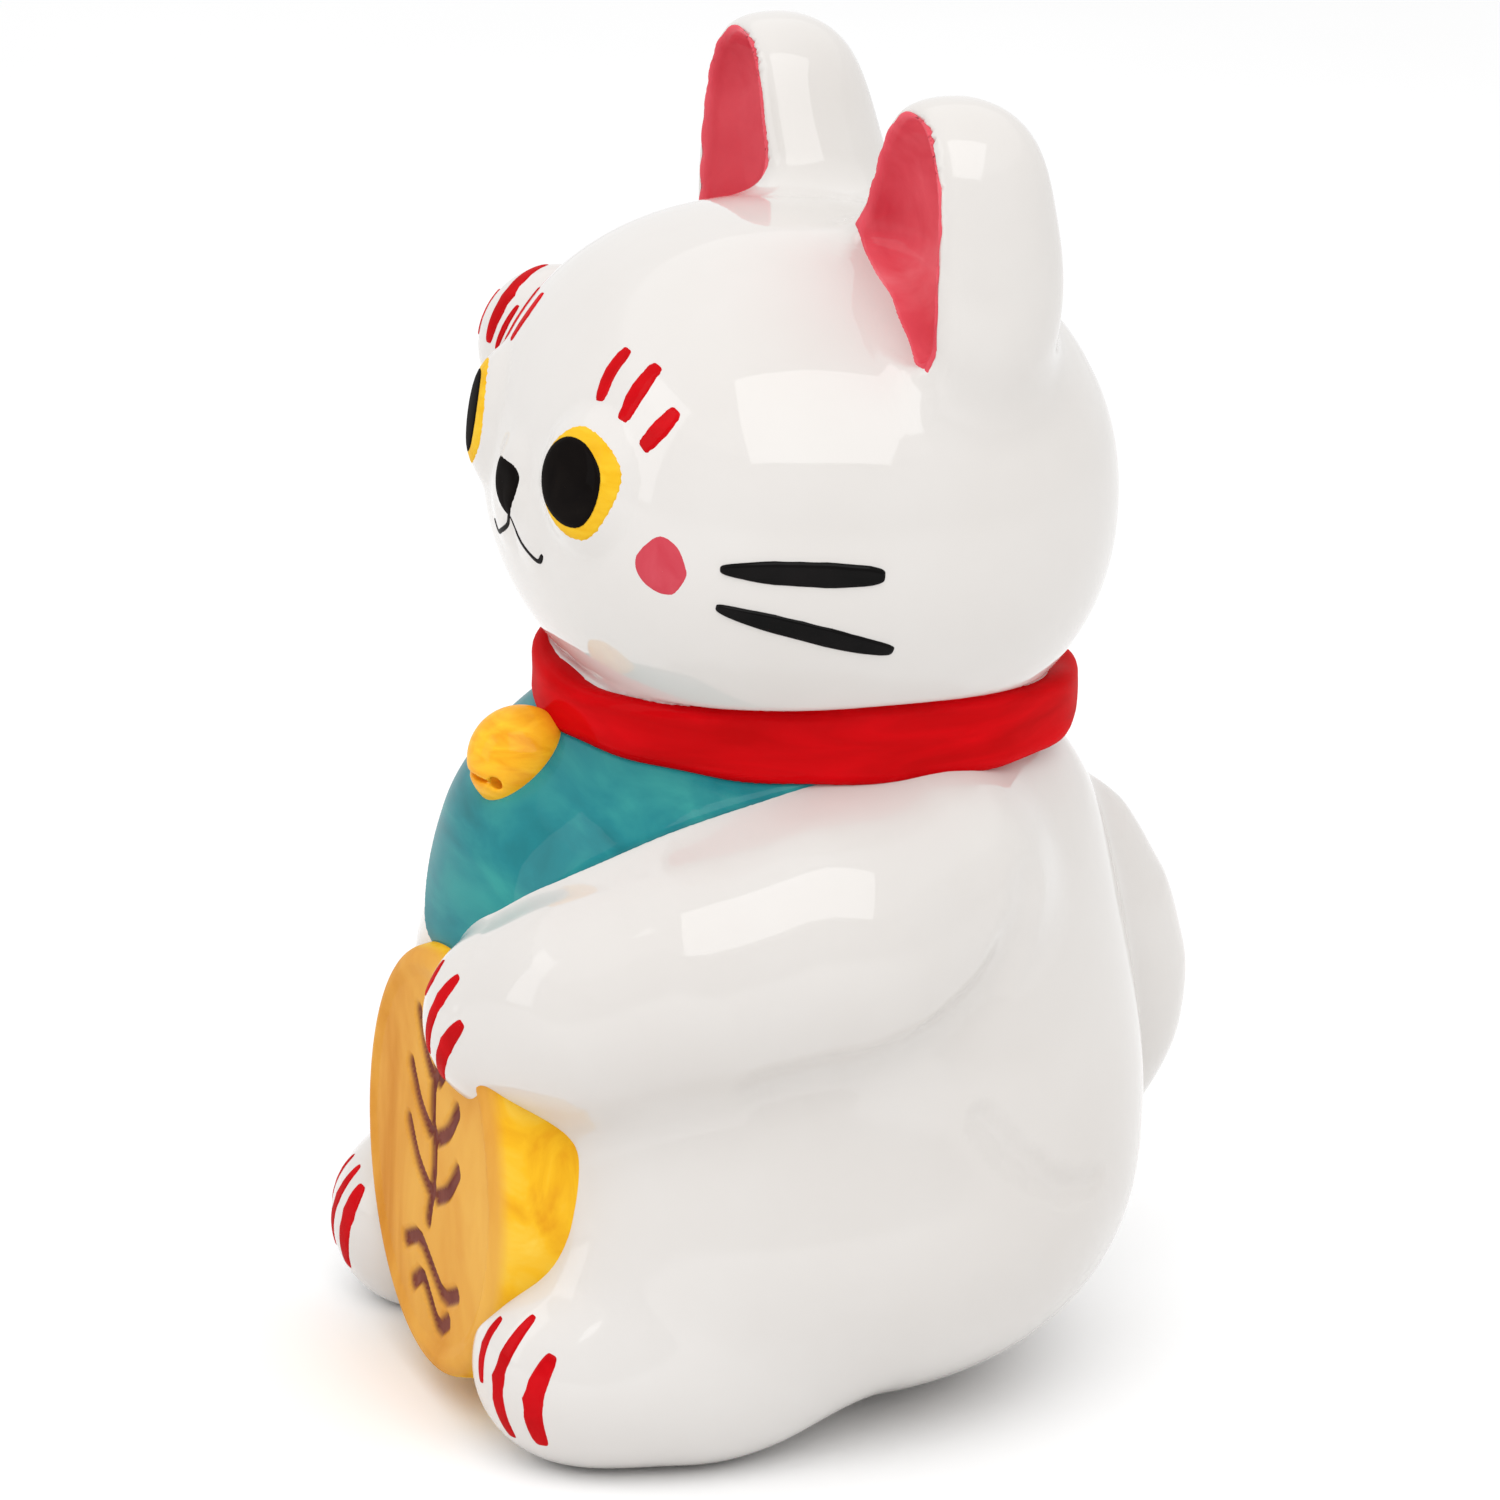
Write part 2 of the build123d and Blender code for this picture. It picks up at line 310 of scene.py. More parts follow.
def casting_form(p):
    """The walls of the casting, between its outside and its chamber."""
    return trim(outer_form(p), -chamber_form(p), 1.2)


# ---------------------------------------------------------------- meshing

def gradient(field, p, reach=0.04):
    """The field's slope at each point, from its values a little to each side."""
    out = np.empty_like(p)
    for axis in range(3):
        shift = np.zeros(3, np.float32)
        shift[axis] = reach
        out[:, axis] = field(p + shift) - field(p - shift)
    return out / (2 * reach)


def unit(v):
    """The vectors scaled to length 1."""
    return v / np.maximum(np.linalg.norm(v, axis=-1, keepdims=True), 1e-9)


def settle(field, p, level=0.0, steps=3):
    """Moves points onto the surface where the field has the level."""
    for _ in range(steps):
        g = gradient(field, p)
        p = p - g * ((field(p) - level) / np.maximum((g ** 2).sum(-1), 0.05))[:, None]
    return p


SLAB = 6


def surface_net(field, low, high, step):
    """Quads over the zero surface of a field, one vertex for each grid cell that it crosses."""
    axes = [np.arange(a, b + step, step, dtype=np.float32) for a, b in zip(low, high)]
    values = np.concatenate([
        field(np.stack(np.meshgrid(slab, axes[1], axes[2], indexing="ij"), -1))
        for slab in np.array_split(axes[0], max(1, len(axes[0]) // SLAB))])
    inside = values < 0
    cells = tuple(n - 1 for n in values.shape)
    total = np.zeros(cells + (3,), np.float32)
    count = np.zeros(cells, np.int32)
    crossings = []
    if inside[[0, -1]].any() or inside[:, [0, -1]].any() or inside[:, :, [0, -1]].any():
        raise ValueError("the form reaches the edge of its grid")
    for axis in range(3):
        start = [slice(None)] * 3
        end = [slice(None)] * 3
        start[axis] = slice(0, -1)
        end[axis] = slice(1, None)
        crossed = inside[tuple(start)] != inside[tuple(end)]
        where = np.argwhere(crossed)
        a = values[tuple(start)][crossed]
        b = values[tuple(end)][crossed]
        point = where.astype(np.float32)
        point[:, axis] += a / (a - b)
        others = [k for k in range(3) if k != axis]
        around = []
        for d0, d1 in ((0, 0), (-1, 0), (-1, -1), (0, -1)):
            cell = where.copy()
            cell[:, others[0]] += d0
            cell[:, others[1]] += d1
            np.add.at(total, tuple(cell.T), point)
            np.add.at(count, tuple(cell.T), 1)
            around.append(cell)
        crossings.append((np.stack(around, 1), a < 0, axis))
    used = count > 0
    number = np.full(cells, -1, np.int64)
    number[used] = np.arange(used.sum())
    points = total[used] / count[used][:, None] * step + np.array([a[0] for a in axes], np.float32)
    quads = []
    for around, outward, axis in crossings:
        quad = number[tuple(around.reshape(-1, 3).T)].reshape(-1, 4)
        flip = outward if axis == 1 else ~outward
        quad[flip] = quad[flip][:, ::-1]
        quads.append(quad)
    return points, np.concatenate(quads).tolist()


def make_object(name, points, faces, material, normals=None, body="bank"):
    """A piece from points in millimetres, riding a CAD body."""
    mesh = bpy.data.meshes.new(name)
    mesh.from_pydata((np.asarray(points, float) * MM + ORIGIN).tolist(), [], faces)
    mesh.validate()
    mesh.shade_smooth()
    if normals is not None:
        mesh.normals_split_custom_set_from_vertices(np.asarray(normals, float).tolist())
    mesh.materials.append(material)
    piece = bpy.data.objects.new(name, mesh)
    bpy.context.scene.collection.objects.link(piece)
    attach(piece, body)
    return piece


def sculpted(name, field, low, high, step, material):
    """A piece meshed from a form between two corners."""
    points, quads = surface_net(field, low, high, step)
    points = settle(field, points)
    return make_object(name, points, quads, material, unit(gradient(field, points)))


# ---------------------------------------------------------------- painted enamel

STEPS = 40
RINGS = 8
RING_SHARES = np.linspace(0, 1, RINGS + 1)[1:]
SUNK = -0.35
EDGE_DROP = 0.06
DOME_POWER = 6


def smooth_line(points, closed=False):
    """Evenly spread points on a smooth curve through a few given ones."""
    p = np.array(points, np.float32)
    if closed:
        before, start, end, after = (np.roll(p, -shift, axis=0) for shift in (-1, 0, 1, 2))
    else:
        ext = np.concatenate([[2 * p[0] - p[1]], p, [2 * p[-1] - p[-2]]])
        before, start, end, after = ext[:-3], ext[1:-2], ext[2:-1], ext[3:]
    t = np.linspace(0, len(start), STEPS + 1)[:STEPS + (not closed)]
    k = np.minimum(t.astype(int), len(start) - 1)
    u = (t - k)[:, None]
    a, b, c, d = before[k], start[k], end[k], after[k]
    square = 2 * a - 5 * b + 4 * c - d
    cube = 3 * b - a - 3 * c + d
    return 0.5 * (2 * b + (c - a) * u + square * u ** 2 + cube * u ** 3)


def enamel(name, field, rings, material, rise, ground=0.0):
    """A thin closed skin of colour: a low dome whose edge sinks just below the coat that it lies on."""
    count = len(rings[0])
    fall = (RING_SHARES[:, None] * np.ones(count)) ** DOME_POWER
    height = (ground + rise * (1 - fall) - EDGE_DROP * fall).astype(np.float32).ravel()
    seeds = np.concatenate(rings).astype(np.float32)
    top = settle(field, seeds, height, 6)
    underside = settle(field, seeds, np.full_like(height, SUNK), 6)
    points = np.concatenate([top, underside])
    here = np.arange(count)
    onward = (here + 1) % count
    faces = []
    for start, order in ((0, 1), (len(seeds), -1)):
        for ring in range(len(rings) - 1):
            inner = start + ring * count
            outer = inner + count
            band = np.stack([inner + here, outer + here, outer + onward, inner + onward], 1)
            faces += band[:, ::order].tolist()
        low = np.arange(1, count // 2)
        cap = np.stack([low - 1, low, -low % count, (1 - low) % count], 1) + start
        faces += [list(dict.fromkeys(face)) for face in cap[:, ::order].tolist()]
    rim = (len(rings) - 1) * count
    below = rim + len(seeds)
    faces += np.stack([rim + here, below + here, below + onward, rim + onward], 1).tolist()
    a, b, c = points[rim], points[rim + count // 3], points[rim + 2 * count // 3]
    if np.cross(b - a, c - a) @ gradient(field, points[:1])[0] < 0:
        faces = [face[::-1] for face in faces]
    return make_object(name, points, faces, material)


def unevenness(count, ragged):
    """A hand-painted edge: a smooth factor near 1 for each point of an outline."""
    jitter = rng.random(count) - 0.5
    return 1 + ragged * (np.roll(jitter, 1) + jitter + np.roll(jitter, -1)) / 3


def turns(count):
    """Angles evenly spread round a circle."""
    return np.linspace(0, 2 * math.pi, count, endpoint=False)


def stroke(name, field, path, widths, material, rise=0.12, square=0.75, ragged=0.08, count=72):
    """A brush stroke along a path; widths run from its start to its end, and a low square blunts its ends."""
    line = settle(field, smooth_line(path).astype(np.float32))
    side = unit(np.cross(gradient(field, line), unit(np.gradient(line, axis=0))))
    half = np.interp(np.linspace(0, 1, len(line)), np.linspace(0, 1, len(widths)), widths) / 2
    angle = turns(count)
    along = np.sign(np.cos(angle)) * np.abs(np.cos(angle)) ** square
    across = np.sign(np.sin(angle)) * np.abs(np.sin(angle)) ** square
    edge = unevenness(count, ragged)

    def on_line(values, at):
        """The values at fractional steps along the path."""
        low = np.clip(at.astype(int), 0, STEPS - 1)
        part = (at - low)[:, None]
        return values[low] * (1 - part) + values[low + 1] * part

    rings = []
    for share in RING_SHARES:
        at = (along * (0.85 + 0.15 * share) + 1) * STEPS / 2
        out = across * share * edge * np.interp(at, np.arange(STEPS + 1), half)
        rings.append(on_line(line, at) + on_line(side, at) * out[:, None])
    return enamel(name, field, rings, material, rise)


def spot(name, field, outline, material, rise=0.12, ragged=0.03, ground=0.0):
    """A patch of colour inside a smooth closed outline."""
    edge = smooth_line(outline, closed=True)
    centre = edge.mean(0)
    reach = (edge - centre) * unevenness(len(edge), ragged)[:, None]
    rings = [centre + reach * share for share in RING_SHARES]
    return enamel(name, field, rings, material, rise, ground)


# ---------------------------------------------------------------- materials

def new_material(name, roughness, coat=1.0):
    """A matt body under a clear gloss coat, or with a faint sheen of its own where there is no coat."""
    material = bpy.data.materials.new(name)
    material.use_nodes = True
    shader = material.node_tree.nodes["Principled BSDF"]
    shader.inputs["Roughness"].default_value = roughness
    shader.inputs["Specular IOR Level"].default_value = 0.0 if coat else 0.3
    shader.inputs["Coat Weight"].default_value = coat
    shader.inputs["Coat Roughness"].default_value = 0.03
    shader.inputs["Coat IOR"].default_value = 1.5
    return material, material.node_tree.nodes, material.node_tree.links, shader


def place(nodes, links, stretch=(1, 1, 1)):
    """Object coordinates, in metres, stretched along the brush."""
    where = nodes.new("ShaderNodeTexCoord")
    mapping = nodes.new("ShaderNodeMapping")
    mapping.inputs["Scale"].default_value = stretch
    links.new(where.outputs["Object"], mapping.inputs["Vector"])
    return mapping.outputs["Vector"]


def noise(nodes, links, vector, scale, detail=3.0, distortion=0.0):
    """A soft random pattern."""
    texture = nodes.new("ShaderNodeTexNoise")
    texture.inputs["Scale"].default_value = scale
    texture.inputs["Detail"].default_value = detail
    texture.inputs["Distortion"].default_value = distortion
    links.new(vector, texture.inputs["Vector"])
    return texture.outputs["Fac"]


def ramp(nodes, links, value, stops):
    """A colour that follows a value through a few stops."""
    band = nodes.new("ShaderNodeValToRGB")
    while len(band.color_ramp.elements) < len(stops):
        band.color_ramp.elements.new(0.5)
    for element, (position, colour) in zip(band.color_ramp.elements, stops):
        element.position = position
        element.color = (*colour, 1)
    links.new(value, band.inputs["Fac"])
    return band.outputs["Color"]


def ripple(nodes, links, shader, vector, scale, depth):
    """The faint unevenness of a fired glaze."""
    bump = nodes.new("ShaderNodeBump")
    bump.inputs["Strength"].default_value = 1.0
    bump.inputs["Distance"].default_value = depth
    links.new(noise(nodes, links, vector, scale, 2.0), bump.inputs["Height"])
    links.new(bump.outputs["Normal"], shader.inputs["Normal"])
    links.new(bump.outputs["Normal"], shader.inputs["Coat Normal"])


def white_glaze():
    """Clear glaze over white earthenware."""
    material, nodes, links, shader = new_material("white_glaze", 0.22)
    vector = place(nodes, links)
    tone = ramp(nodes, links, noise(nodes, links, vector, 28, 4.0),
                [(0.3, (0.635, 0.605, 0.577)), (0.7, (0.672, 0.648, 0.625))])
    links.new(tone, shader.inputs["Base Color"])
    ripple(nodes, links, shader, vector, 70, 0.00008)
    return material


def brushed_glaze(name, stops, scale, stretch, coat):
    """Coloured glaze laid on in strokes, so that it is thicker and darker along them."""
    material, nodes, links, shader = new_material(name, 0.2, coat)
    vector = place(nodes, links, stretch)
    tone = ramp(nodes, links, noise(nodes, links, vector, scale, 5.0, 0.6), stops)
    links.new(tone, shader.inputs["Base Color"])
    ripple(nodes, links, shader, vector, scale * 1.5, 0.00008)
    return material


def koban_glaze():
    """Ochre face, yellow sides and brown pooled in the engraving, told apart by the painted mesh."""
    material, nodes, links, shader = new_material("koban_glaze", 0.3, 0.12)
    paint = nodes.new("ShaderNodeVertexColor")
    paint.layer_name = "paint"
    split = nodes.new("ShaderNodeSeparateColor")
    links.new(paint.outputs["Color"], split.inputs["Color"])
    streaks = place(nodes, links, (1.0, 1.0, 0.45))
    face = ramp(nodes, links, noise(nodes, links, streaks, 50, 5.0, 1.0),
                [(0.3, (0.55, 0.21, 0.022)), (0.5, (0.66, 0.31, 0.05)), (0.7, (0.74, 0.40, 0.075))])
    sides = ramp(nodes, links, noise(nodes, links, streaks, 120, 6.0, 2.0),
                 [(0.3, (0.72, 0.29, 0.008)), (0.5, (0.86, 0.47, 0.018)), (0.7, (0.90, 0.62, 0.09))])
    brown = ramp(nodes, links, noise(nodes, links, streaks, 260, 3.0),
                 [(0.3, (0.13, 0.028, 0.022)), (0.7, (0.21, 0.06, 0.04))])
    mixed = face
    for part, colour in (("Green", sides), ("Red", brown)):
        mix = nodes.new("ShaderNodeMix")
        mix.data_type = "RGBA"
        links.new(split.outputs[part], mix.inputs["Factor"])
        links.new(mixed, mix.inputs["A"])
        links.new(colour, mix.inputs["B"])
        mixed = mix.outputs["Result"]
    links.new(mixed, shader.inputs["Base Color"])
    ripple(nodes, links, shader, streaks, 220, 0.0001)
    return material


def stopper_rubber():
    """Matt, faintly mottled grey rubber."""
    material, nodes, links, shader = new_material("stopper_rubber", 0.55, coat=0.0)
    vector = place(nodes, links)
    greys = [(0.3, (0.50, 0.49, 0.47)), (0.7, (0.60, 0.59, 0.57))]
    tone = ramp(nodes, links, noise(nodes, links, vector, 90), greys)
    links.new(tone, shader.inputs["Base Color"])
    ripple(nodes, links, shader, vector, 900, 0.00005)
    return material


def floor_material():
    """Plain, pale and wholly matt."""
    material, nodes, links, shader = new_material("pale_floor", 1.0, coat=0.0)
    shader.inputs["Specular IOR Level"].default_value = 0.0
    whites = [(0.3, (0.93,) * 3), (0.7, (0.95,) * 3)]
    tone = ramp(nodes, links, noise(nodes, links, place(nodes, links), 4), whites)
    links.new(tone, shader.inputs["Base Color"])
    return material


rng = np.random.default_rng(7)
WHITE = white_glaze()
RED = brushed_glaze("red_glaze", [(0.3, (0.47, 0.001, 0.002)), (0.7, (0.65, 0.002, 0.005))],
                    scale=60, stretch=(1, 1, 5), coat=0.07)
TEAL = brushed_glaze("teal_glaze", [(0.25, (0.007, 0.135, 0.155)), (0.5, (0.012, 0.195, 0.22)),
                                    (0.75, (0.033, 0.285, 0.27))],
                     scale=55, stretch=(1, 2.2, 2.6), coat=0.35)
GOLD = brushed_glaze("gold_glaze", [(0.3, (0.80, 0.32, 0.008)), (0.7, (0.98, 0.53, 0.025))],
                     scale=200, stretch=(1, 1, 3), coat=0.3)
YELLOW = brushed_glaze("yellow_glaze", [(0.3, (0.73, 0.39, 0.009)), (0.7, (0.81, 0.51, 0.03))],
                       scale=200, stretch=(1, 1, 3), coat=0.12)
PINK = brushed_glaze("pink_glaze", [(0.3, (0.62, 0.05, 0.075)), (0.55, (0.73, 0.10, 0.13)),
                                    (0.8, (0.80, 0.20, 0.23))],
                     scale=80, stretch=(1.4, 1.4, 0.8), coat=0.25)
CHEEK = brushed_glaze("cheek_glaze", [(0.3, (0.50, 0.034, 0.055)), (0.75, (0.58, 0.075, 0.10))],
                      scale=200, stretch=(1, 1, 1), coat=0.12)
BLACK = brushed_glaze("black_glaze", [(0.3, (0.002, 0.002, 0.002)), (0.7, (0.006, 0.005, 0.005))],
                      scale=160, stretch=(1, 1, 1), coat=0.15)
RED_LINE = brushed_glaze("red_line_glaze", [(0.3, (0.42, 0.0012, 0.003)), (0.7, (0.58, 0.003, 0.007))],
                         scale=160, stretch=(1, 1, 1), coat=0.12)
PUPIL = brushed_glaze("pupil_glaze", [(0.3, (0.004, 0.003, 0.003)), (0.7, (0.009, 0.007, 0.006))],
                      scale=160, stretch=(1, 1, 1), coat=0.04)


# ---------------------------------------------------------------- the pieces

WHITE_NODES = ("body_shell", "head_shell", "ear_left", "ear_right", "holding_arm", "raised_arm",
               "foot_left", "foot_right", "tail")
CASTING_STEP = 0.9


def casting():
    """The one white casting, from ears to feet, hollow inside, with its slot and base hole."""
    low = np.minimum.reduce([span(node)[0] for node in WHITE_NODES]) - 3
    high = np.maximum.reduce([span(node)[1] for node in WHITE_NODES]) + 3
    piece = sculpted("glazed_casting", casting_form, low, high, CASTING_STEP, WHITE)
    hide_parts(*WHITE_NODES)


def trimming(name, field, node, low, high, step, material):
    """One of the small coloured pieces, sculpted between two corners, in place of its CAD node."""
    piece = sculpted(name, field, low, high, step, material)
    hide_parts(node)


def collar_form(p):
    """A band with rounded edges, very slightly uneven, as it was rolled and painted by hand."""
    edges = np.maximum(p[..., 2] - collar_top(p), COLLAR_LOW[2] - 0.2 - p[..., 2])
    band = np.abs(from_axis(p) - COLLAR_RADIUS + COLLAR_HALF_THICKNESS) - COLLAR_HALF_THICKNESS
    band = trim(band, edges, 1.8)
    turn = np.arctan2(p[..., 1], p[..., 0])
    return band + 0.12 * np.sin(5 * turn + 1) * np.sin(0.8 * p[..., 2]) + 0.1 * np.sin(13 * turn)


BIB_LOW, BIB_HIGH = span("bib_panel")
BIB_TIP = 52.0
BIB_HALF_WIDTH = 30.5
BIB_THICKNESS = 0.9
BIB_SIDE_SLOPE = 1.45


def bib_form(p):
    """A kerchief that lies on the chest, widest under the collar and drawn to a soft point."""
    share = np.clip((p[..., 2] - BIB_TIP) / (COLLAR_LOW[2] - BIB_TIP), 1e-3, 1.1)
    edge = (np.abs(p[..., 0]) - BIB_HALF_WIDTH * share ** 0.7) / BIB_SIDE_SLOPE
    edge = np.maximum(edge, p[..., 1] + 4)
    chest = torso_form(p)
    cloth = trim(chest - BIB_THICKNESS, np.maximum(edge, p[..., 2] - COLLAR_LOW[2] - 1), 1.2)
    cloth = trim(cloth, BIB_TIP + 0.5 - p[..., 2], 2)
    cloth = trim(cloth, -(chest + 0.4), 0.4)
    return trim(cloth, -(limb(p, HOLDING_ARM, LIMB_FILLET) + 0.3), 0.4)


BELL_LOW, BELL_HIGH = span("bell")
BELL_RADIUS = (BELL_HIGH[0] - BELL_LOW[0]) / 2
BELL_CENTRE = np.array([(BELL_LOW[0] + BELL_HIGH[0]) / 2, BELL_LOW[1] + BELL_RADIUS,
                        BELL_HIGH[2] - BELL_RADIUS])
BELL_SWELL = 0.45
BELL_REACH = BELL_RADIUS + 1.5

# The bell's openings: centre from the bell's own, and radii.
BELL_HOLE = ((3.6, 0.4 - BELL_RADIUS * 0.7, -1.4), (0.9, 1.3, 0.9))
BELL_SLIT = ((0, 0.3 - BELL_RADIUS, -1.6), (3.2, 1.3, 0.35))


def bell_form(p):
    """A round bell with two small holes joined by a slit."""
    ball = oval(p, BELL_CENTRE, (BELL_RADIUS + BELL_SWELL,) * 3)
    hole = oval(both_sides(p), BELL_CENTRE + np.array(BELL_HOLE[0]), BELL_HOLE[1])
    slit = oval(p, BELL_CENTRE + np.array(BELL_SLIT[0]), BELL_SLIT[1])
    return trim(trim(ball, -hole, 0.6), -slit, 0.5)


KOBAN_FRONT = span("koban_plaque")[0][1]
KOBAN_DEPTH = 22.0
KOBAN_DRAFT = 4.0
KOBAN_HALF = (24.0, 25.9)
KOBAN_CENTRE = (5.0, KOBAN_FRONT, 29.7)
KOBAN_EDGE = 1.8
KOBAN_ROUNDNESS = 21
FACE_DEPTH = 0.5
RIM_WIDTH = 1.6
RIM_SLOPE = 1.2
GROOVE_WIDTH = 1.05
GROOVE_DEPTH = 0.6
BROWN_WIDTH = 1.3
BROWN_FADE = 0.55
BROWN_BACK = 1.9
YELLOW_START = 0.7
YELLOW_FADE = 1.3
FAR = 99.0


def koban_ornament():
    """A made-up sprig: a bent stem with paired leaves over two waves, in short straight grooves."""
    stem = [(-1.5, -8), (0.5, 0), (-0.5, 8), (1.5, 17)]
    strokes = [smooth_line([(x, 0, z) for x, z in stem])]
    for height, reach in ((-4, 9.0), (3.5, 8.5), (11, 6.0)):
        for side in (-1, 1):
            leaf = [(side * 1.6, height), (side * 0.62 * reach, height + 2.2), (side * reach, height + 6)]
            strokes.append(smooth_line([(x, 0, z) for x, z in leaf]))
    for drop, reach in ((-13.5, 9.5), (-18, 6.5)):
        wave = [(-reach, drop), (-reach / 2, drop + 2), (0, drop), (reach / 2, drop - 2), (reach, drop)]
        strokes.append(smooth_line([(x, 0, z) for x, z in wave]))
    return [line[::4, [0, 2]] for line in strokes]


ORNAMENT = koban_ornament()


def groove_distance(p):
    """Distance in the face's own plane from the nearest engraved stroke."""
    x = p[..., 0] - KOBAN_CENTRE[0]
    z = p[..., 2] - KOBAN_CENTRE[2]
    nearest = np.full(x.shape, FAR, np.float32)
    for line in ORNAMENT:
        for (x0, z0), (x1, z1) in zip(line, line[1:]):
            dx, dz = x1 - x0, z1 - z0
            t = np.clip(((x - x0) * dx + (z - z0) * dz) / (dx * dx + dz * dz), 0, 1)
            nearest = np.minimum(nearest, np.hypot(x - x0 - t * dx, z - z0 - t * dz))
    return nearest


def koban_form(p):
    """The oval coin, with drafted sides, a slightly sunken face and the engraved sprig."""
    x = p[..., 0] - KOBAN_CENTRE[0]
    y = p[..., 1] - KOBAN_FRONT
    z = p[..., 2] - KOBAN_CENTRE[2]
    grow = np.clip(y, 0, KOBAN_DEPTH) * KOBAN_DRAFT / KOBAN_DEPTH
    ring = np.sqrt((x / (KOBAN_HALF[0] + grow)) ** 2 + (z / (KOBAN_HALF[1] + grow)) ** 2)
    side = (ring - 1) * KOBAN_ROUNDNESS
    sunk = FACE_DEPTH * np.clip((-side - RIM_WIDTH) / RIM_SLOPE, 0, 1)
    near = y < 3
    away = np.full(x.shape, FAR, np.float32)
    away[near] = groove_distance(p[near])
    groove = GROOVE_DEPTH * np.clip(1.5 - away / GROOVE_WIDTH, 0, 1)
    coin = trim(side, np.maximum(sunk + groove - y, y - KOBAN_DEPTH), KOBAN_EDGE)
    return trim(coin, 0.6 - p[..., 2], 0.6)


def koban():
    """The coin, with its face, sides and engraving marked in the paint that its glaze reads."""
    centre = np.array(KOBAN_CENTRE) + (0, KOBAN_DEPTH / 2, 0)
    reach = np.array((KOBAN_HALF[0] + KOBAN_DRAFT, KOBAN_DEPTH / 2, KOBAN_HALF[1] + KOBAN_DRAFT)) + 1.5
    piece = sculpted("koban_coin", koban_form, centre - reach, centre + reach, 0.45,
                     koban_glaze())
    mesh = piece.data
    points = np.empty(len(mesh.vertices) * 3, np.float32)
    mesh.vertices.foreach_get("co", points)
    points = ((points.reshape(-1, 3) - ORIGIN) / MM).astype(np.float32)
    engraved = np.clip((BROWN_WIDTH - groove_distance(points)) / BROWN_FADE, 0, 1)
    engraved *= points[:, 1] < KOBAN_FRONT + BROWN_BACK
    sideways = np.clip((points[:, 1] - KOBAN_FRONT - YELLOW_START) / YELLOW_FADE, 0, 1)
    paint = mesh.color_attributes.new("paint", "FLOAT_COLOR", "POINT")
    colours = np.stack([engraved, sideways * (1 - engraved), 0 * engraved, 1 + 0 * engraved], 1)
    paint.data.foreach_set("color", colours.astype(np.float32).ravel())
    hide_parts("koban_plaque")


STOPPER_LOW, STOPPER_HIGH = span("base_stopper")
FLANGE_RADIUS = 17.0
PLUG_RADIUS = 14.2
PLUG_HOLLOW_RADIUS = 9.0
PLUG_FOOT = 4.5
BEAD_RELIEF = 0.22
BEAD_SPACING = 3
RIB_RADIUS = 13
TAB_HALF_WIDTH = 6.0
TAB_HALF_THICKNESS = 1.2
GRIP_RADII = (8.5, 8.5, 0.6)
RUBBER_EDGE = 0.8


def stopper_form(p):
    """A soft plug: a thin flange with a raised ring and a grip tab under it, and a hollow, beaded plug."""
    away = from_axis(p)
    z = p[..., 2]
    flange = trim(away - FLANGE_RADIUS, np.abs(z - 3.4) - 1.1, RUBBER_EDGE)
    bead = BEAD_RELIEF * np.cos((z - PLUG_FOOT) * 2 * math.pi / BEAD_SPACING)
    plug = trim(away - PLUG_RADIUS - bead, np.abs(z - 8.9) - 4.6, 1.4)
    plug = trim(plug, -np.maximum(away - PLUG_HOLLOW_RADIUS, PLUG_FOOT - z), RUBBER_EDGE)
    tab = trim(np.abs(p[..., 0]) - TAB_HALF_WIDTH, np.abs(p[..., 1]) - TAB_HALF_THICKNESS, RUBBER_EDGE)
    tab = trim(tab, np.abs(z - 1.6) - 0.9, 0.6)
    grip = oval(p, (0.0, 0.0, 2.0), GRIP_RADII)
    rib = trim(np.abs(away - RIB_RADIUS) - 0.6, np.abs(z - 2.3) - 0.4, 0.5)
    return np.minimum.reduce([blend(blend(flange, plug, 0.6), rib, 0.4), tab, grip])


def stopper():
    """The rubber stopper, which rides on its own body."""
    points, quads = surface_net(stopper_form, STOPPER_LOW - 1, STOPPER_HIGH + 1, 0.5)
    points = settle(stopper_form, points)
    rubber = stopper_rubber()
    piece = make_object("rubber_stopper", points, quads, rubber, body="stopper")
    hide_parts("base_stopper")


def flip(points):
    """The same points on the cat's other side."""
    return [(-x, y, z) for x, y, z in points]


LINING_FOOT = 128.3
LINING_DEPTH = 1.1
LINING_RISE = 0.15
LINING_MARGIN = 0.7


def ear_lining_form(p):
    """A skin of rose glaze over the hollow of each ear, brushed a little unevenly along its edge."""
    q = both_sides(p)
    brush = 0.3 * np.sin(0.9 * p[..., 2]) * np.sin(0.7 * p[..., 0] + 0.5 * p[..., 2])
    hollow = ear_hollow_form(q) - LINING_MARGIN + brush
    surface = upper_form(p)
    skin = trim(surface - LINING_RISE, np.maximum(hollow, EAR_FRONT - 0.5 + brush - p[..., 1]), 0.3)
    skin = trim(skin, LINING_FOOT - p[..., 2], 0.3)
    return trim(skin, -(surface + LINING_DEPTH), 0.3)


def ear_lining(name, side):
    """The lining of one ear, meshed in a box round its hollow."""
    (x, rim, bottom), (wide, deep, down) = EAR_HOLLOW_LOW
    (_, _, top), (_, _, up) = EAR_HOLLOW_HIGH
    low = np.array((side * x - wide - 4, rim - 6, bottom - down - 2))
    high = np.array((side * x + wide + 4, rim + deep + 2, top + up + 2))
    return sculpted(name, ear_lining_form, low, high, 0.4, PINK)


